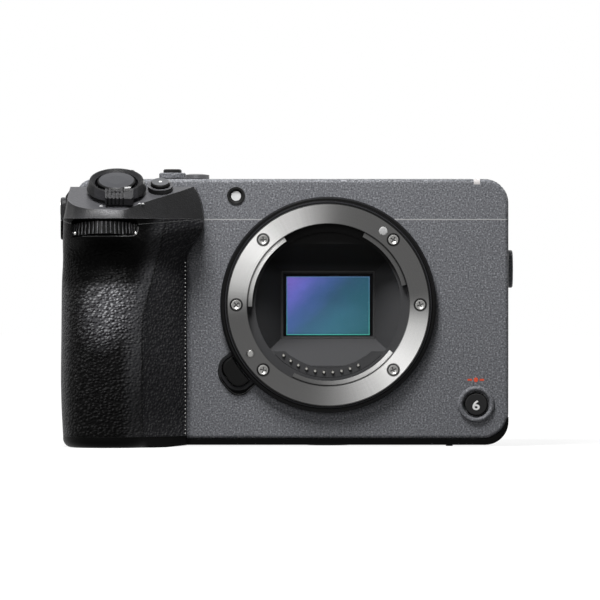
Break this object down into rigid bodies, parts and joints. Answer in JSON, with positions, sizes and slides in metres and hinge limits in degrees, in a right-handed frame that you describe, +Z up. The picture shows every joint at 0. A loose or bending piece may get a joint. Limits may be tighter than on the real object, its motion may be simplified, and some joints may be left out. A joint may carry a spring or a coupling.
{
  "type": "cinema camera",
  "caption": "Compact cinema camera body with a hand grip, bayonet lens mount, side-opening monitor, dials and buttons, shown without a lens.",
  "frame": {"origin": "on the tripod socket's axis, in the plane of the base; the lens axis is straight above it", "axes": "+Z up, the lens side faces -Y, +X to the right when the lens mount is seen from the front"},
  "size_m": [0.1326, 0.0841, 0.0808],
  "materials": {
    "body_paint": "fine speckled dark grey paint",
    "black_plastic": "matt black moulded",
    "gloss_black": "semi-gloss black",
    "grip_rubber": "coarse and fine leather grain",
    "bright_steel": "circular brushed",
    "grey_button": "dark anodised",
    "circuit_board": "solder mask",
    "bare_aluminium": "die cast",
    "red_lens": "frosted lens over a red lamp, unlit",
    "sensor_face": "iridescent from violet to teal",
    "satin_silver": "satin",
    "gold_contact": "plated",
    "clear_glass": "coated",
    "screen_glass": "dark cover glass",
    "white_window": "milky window"
  },
  "bodies": {
    "camera_body": {"front_cover": "body_paint", "top_cover": "body_paint", "rear_cover": "body_paint", "port_panel": "body_paint", "base_plate": "black_plastic", "grip_shell": "grip_rubber", "grip_deck": "black_plastic", "chassis": "bare_aluminium", "mount_collar": "black_plastic", "bayonet_ring": "bright_steel", "mount_screws": "satin_silver", "light_baffle": "black_plastic", "contact_block": "black_plastic", "contact_pins": "gold_contact", "light_sensor_bezel": "black_plastic", "light_sensor_window": "white_window", "tally_lamp": "red_lens", "button_rings": "grey_button", "accessory_shoe": "satin_silver", "thread_inserts": "satin_silver", "tripod_socket": "satin_silver", "strap_lugs": "satin_silver", "case_screws": "satin_silver", "battery_pack": "black_plastic", "port_sockets": "satin_silver", "main_board": "circuit_board", "cooling_unit": "bare_aluminium", "monitor_hinge": "satin_silver"},
    "lock_pin": {"lock_pin": "satin_silver"},
    "release_button": {"release_button": "black_plastic"},
    "stabiliser_yoke": {"sensor_yoke": "bare_aluminium"},
    "sensor_unit": {"sensor_carrier": "bare_aluminium", "image_sensor": "sensor_face", "sensor_glass": "clear_glass"},
    "monitor": {"monitor_shell": "black_plastic", "monitor_glass": "screen_glass"},
    "front_record_button": {"front_record_button": "black_plastic"},
    "zoom_lever": {"zoom_lever": "black_plastic"},
    "shutter_button": {"shutter_button": "grey_button"},
    "deck_button": {"deck_button": "black_plastic"},
    "front_dial": {"front_dial": "gloss_black"},
    "rear_dial": {"rear_dial": "gloss_black"},
    "custom_button": {"custom_button": "black_plastic"},
    "record_button": {"record_button": "black_plastic"},
    "power_switch": {"power_switch": "grey_button"},
    "battery_door": {"battery_door": "black_plastic"},
    "battery_latch": {"battery_latch": "black_plastic"},
    "card_door": {"card_door": "grip_rubber"},
    "audio_cover": {"audio_cover": "black_plastic"},
    "hdmi_cover": {"hdmi_cover": "black_plastic"},
    "usb_cover": {"usb_cover": "black_plastic"},
    "fan_rotor": {"fan_rotor": "black_plastic"},
    "joystick_gimbal": {"joystick_gimbal": "satin_silver"},
    "joystick": {"joystick": "grip_rubber"},
    "control_wheel": {"control_wheel": "gloss_black"},
    "wheel_button": {"wheel_button": "black_plastic"},
    "menu_button": {"menu_button": "black_plastic"},
    "function_button": {"function_button": "black_plastic"},
    "playback_button": {"playback_button": "black_plastic"},
    "delete_button": {"delete_button": "black_plastic"}
  },
  "joints": [
    {"name": "zoom_lever_turn", "type": "hinge", "parent": "camera_body", "child": "zoom_lever", "pos_m": [-0.0611, -0.039, 0.07358], "axis": [0, -0.454, 0.891], "range_deg": [-15, 15], "stiffness_Nm_per_rad": 0.02},
    {"name": "shutter_press", "type": "slide", "parent": "camera_body", "child": "shutter_button", "axis": [0, 0.454, -0.891], "range_m": [0, 0.0008], "stiffness_N_per_m": 800},
    {"name": "deck_button_press", "type": "slide", "parent": "camera_body", "child": "deck_button", "axis": [0, 0.454, -0.891], "range_m": [0, 0.0006], "stiffness_N_per_m": 800},
    {"name": "front_dial_turn", "type": "hinge", "parent": "camera_body", "child": "front_dial", "pos_m": [-0.0644, -0.0409, 0.0618], "axis": [0, 0.1736, 0.9848], "continuous": true},
    {"name": "rear_dial_turn", "type": "hinge", "parent": "camera_body", "child": "rear_dial", "pos_m": [-0.062, 0.0199, 0.071], "axis": [0, 0, 1], "continuous": true},
    {"name": "custom_press", "type": "slide", "parent": "camera_body", "child": "custom_button", "axis": [0, 0, -1], "range_m": [0, 0.0006], "stiffness_N_per_m": 800},
    {"name": "record_press", "type": "slide", "parent": "camera_body", "child": "record_button", "axis": [0, 0, -1], "range_m": [0, 0.0006], "stiffness_N_per_m": 800},
    {"name": "power_switch_turn", "type": "hinge", "parent": "camera_body", "child": "power_switch", "pos_m": [-0.0387, 0.003, 0.0778], "axis": [0, 0, 1], "range_deg": [0, 35]},
    {"name": "front_record_press", "type": "slide", "parent": "camera_body", "child": "front_record_button", "axis": [0, 1, 0], "range_m": [0, 0.0005], "stiffness_N_per_m": 800},
    {"name": "release_press", "type": "slide", "parent": "camera_body", "child": "release_button", "axis": [0, 1, 0], "range_m": [0, 0.0012], "stiffness_N_per_m": 800},
    {"name": "lock_pin_slide", "type": "slide", "parent": "camera_body", "child": "lock_pin", "axis": [0, 1, 0], "range_m": [0, 0.0012]},
    {"name": "stabiliser_sideways", "type": "slide", "parent": "camera_body", "child": "stabiliser_yoke", "axis": [1, 0, 0], "range_m": [-0.001, 0.001], "stiffness_N_per_m": 400},
    {"name": "stabiliser_upright", "type": "slide", "parent": "stabiliser_yoke", "child": "sensor_unit", "axis": [0, 0, 1], "range_m": [-0.001, 0.001], "stiffness_N_per_m": 600},
    {"name": "fan_spin", "type": "hinge", "parent": "camera_body", "child": "fan_rotor", "pos_m": [0.031, 0.0064, 0.024], "axis": [0, 1, 0], "continuous": true},
    {"name": "monitor_swing", "type": "hinge", "parent": "camera_body", "child": "monitor", "pos_m": [0.0487, 0.0292, 0.0345], "axis": [0, 0, -1], "range_deg": [0, 176]},
    {"name": "joystick_up_down", "type": "hinge", "parent": "camera_body", "child": "joystick_gimbal", "pos_m": [-0.0385, 0.0245, 0.0555], "axis": [1, 0, 0], "range_deg": [-8, 8], "stiffness_Nm_per_rad": 0.01},
    {"name": "joystick_side_side", "type": "hinge", "parent": "joystick_gimbal", "child": "joystick", "pos_m": [-0.0385, 0.0245, 0.0555], "axis": [0, 0, 1], "range_deg": [-8, 8], "stiffness_Nm_per_rad": 0.01},
    {"name": "control_wheel_turn", "type": "hinge", "parent": "camera_body", "child": "control_wheel", "pos_m": [-0.048, 0.027, 0.0295], "axis": [0, 1, 0], "continuous": true},
    {"name": "wheel_button_press", "type": "slide", "parent": "camera_body", "child": "wheel_button", "axis": [0, -1, 0], "range_m": [0, 0.0006], "stiffness_N_per_m": 800},
    {"name": "menu_press", "type": "slide", "parent": "camera_body", "child": "menu_button", "axis": [0, -1, 0], "range_m": [0, 0.0006], "stiffness_N_per_m": 800},
    {"name": "function_press", "type": "slide", "parent": "camera_body", "child": "function_button", "axis": [0, -1, 0], "range_m": [0, 0.0006], "stiffness_N_per_m": 800},
    {"name": "playback_press", "type": "slide", "parent": "camera_body", "child": "playback_button", "axis": [0, -1, 0], "range_m": [0, 0.0006], "stiffness_N_per_m": 800},
    {"name": "delete_press", "type": "slide", "parent": "camera_body", "child": "delete_button", "axis": [0, -1, 0], "range_m": [0, 0.0006], "stiffness_N_per_m": 800},
    {"name": "battery_door_hinge", "type": "hinge", "parent": "camera_body", "child": "battery_door", "pos_m": [-0.06125, 0.0052, 0.0008], "axis": [1, 0, 0], "range_deg": [0, 95]},
    {"name": "battery_latch_slide", "type": "slide", "parent": "battery_door", "child": "battery_latch", "axis": [0, -1, 0], "range_m": [0, 0.002]},
    {"name": "card_door_hinge", "type": "hinge", "parent": "camera_body", "child": "card_door", "pos_m": [-0.07615, 0.01845, 0.0375], "axis": [0, 0, -1], "range_deg": [0, 95]},
    {"name": "audio_cover_hinge", "type": "hinge", "parent": "camera_body", "child": "audio_cover", "pos_m": [0.0516, 0.0006, 0.0393], "axis": [0, 0, 1], "range_deg": [0, 100]},
    {"name": "hdmi_cover_hinge", "type": "hinge", "parent": "camera_body", "child": "hdmi_cover", "pos_m": [0.0516, 0.0006, 0.0264], "axis": [0, 0, 1], "range_deg": [0, 100]},
    {"name": "usb_cover_hinge", "type": "hinge", "parent": "camera_body", "child": "usb_cover", "pos_m": [0.0516, 0.0006, 0.0138], "axis": [0, 0, 1], "range_deg": [0, 100]}
  ],
  "couplings": [
    {"joint": "lock_pin_slide", "follows": "release_press", "ratio": 1}
  ]
}
